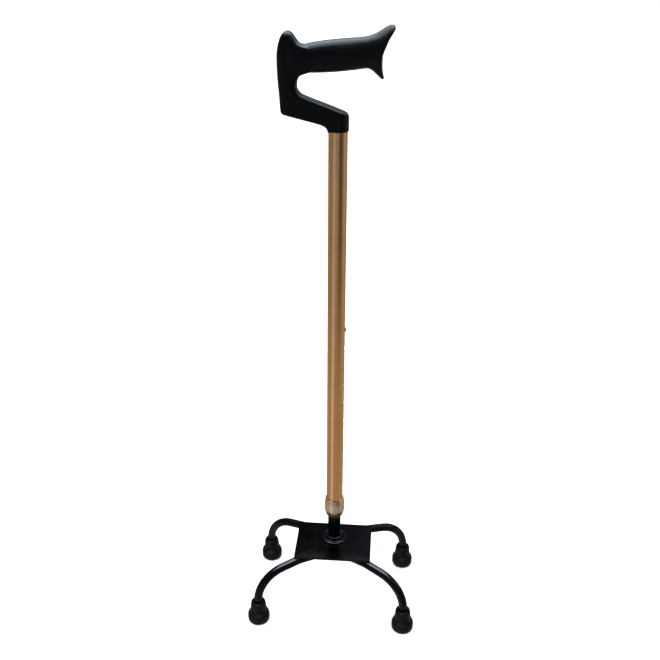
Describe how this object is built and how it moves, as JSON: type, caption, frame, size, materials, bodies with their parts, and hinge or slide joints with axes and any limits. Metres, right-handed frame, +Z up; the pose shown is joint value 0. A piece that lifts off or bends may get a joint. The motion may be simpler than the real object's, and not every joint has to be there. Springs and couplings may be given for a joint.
{
  "type": "quad walking cane",
  "caption": "Height-adjustable walking cane with an offset moulded handle, telescoping shaft with snap button and locking collar, on a small base with four rubber-tipped feet.",
  "frame": {"origin": "centre of the four-footed base, on the floor", "axes": "+Z up along the shaft, +X along the long side of the base, the way the grip points, +Y towards the back of the base"},
  "size_m": [0.2178, 0.1548, 0.7386],
  "materials": {
    "handle_plastic": "satin moulded",
    "gold_aluminium": "gloss anodised, bronze gold",
    "champagne_aluminium": "gloss anodised, pale gold",
    "black_tube": "gloss black coating",
    "black_steel": "gloss black powder coat",
    "tip_rubber": "matte moulded",
    "nylon": "natural nylon",
    "dark_nylon": "satin",
    "spring_steel": "spring temper",
    "zinc_steel": "zinc plated"
  },
  "bodies": {
    "base": {"inner_tube": "black_tube", "guide_bush": "dark_nylon", "stem_plug": "zinc_steel", "stem_hub": "black_steel", "base_plate": "black_steel", "stem_bolt": "zinc_steel", "stem_washer": "zinc_steel", "front_leg_tube": "black_steel", "back_leg_tube": "black_steel", "leg_welds": "black_steel", "front_left_tip": "tip_rubber", "front_right_tip": "tip_rubber", "back_left_tip": "tip_rubber", "back_right_tip": "tip_rubber", "front_left_tip_washer": "zinc_steel", "front_right_tip_washer": "zinc_steel", "back_left_tip_washer": "zinc_steel", "back_right_tip_washer": "zinc_steel", "snap_spring": "spring_steel"},
    "upper": {"handle": "handle_plastic", "handle_screw": "zinc_steel", "outer_tube": "gold_aluminium", "collet_bush": "nylon"},
    "collar": {"lock_nut": "champagne_aluminium"},
    "ring": {"compression_ring": "nylon"},
    "button": {"snap_button": "spring_steel"}
  },
  "joints": [
    {"name": "height_slide", "type": "slide", "parent": "base", "child": "upper", "axis": [0, 0, 1], "range_m": [0, 0.2286], "deforming": ["snap_spring", "snap_button"]},
    {"name": "button_press", "type": "slide", "parent": "base", "child": "button", "axis": [-1, 0, 0], "range_m": [0, 0.003], "stiffness_N_per_m": 1200, "deforming": ["snap_spring"]},
    {"name": "collar_turn", "type": "hinge", "parent": "upper", "child": "collar", "pos_m": [0, 0.004, 0.1395], "axis": [0, 0, 1], "range_deg": [0, 270]},
    {"name": "ring_creep", "type": "slide", "parent": "upper", "child": "ring", "axis": [0, 0, -1], "range_m": [0, 0.0011]}
  ],
  "couplings": [
    {"joint": "ring_creep", "follows": "collar_turn", "m_per_rad": 0.00022282}
  ]
}
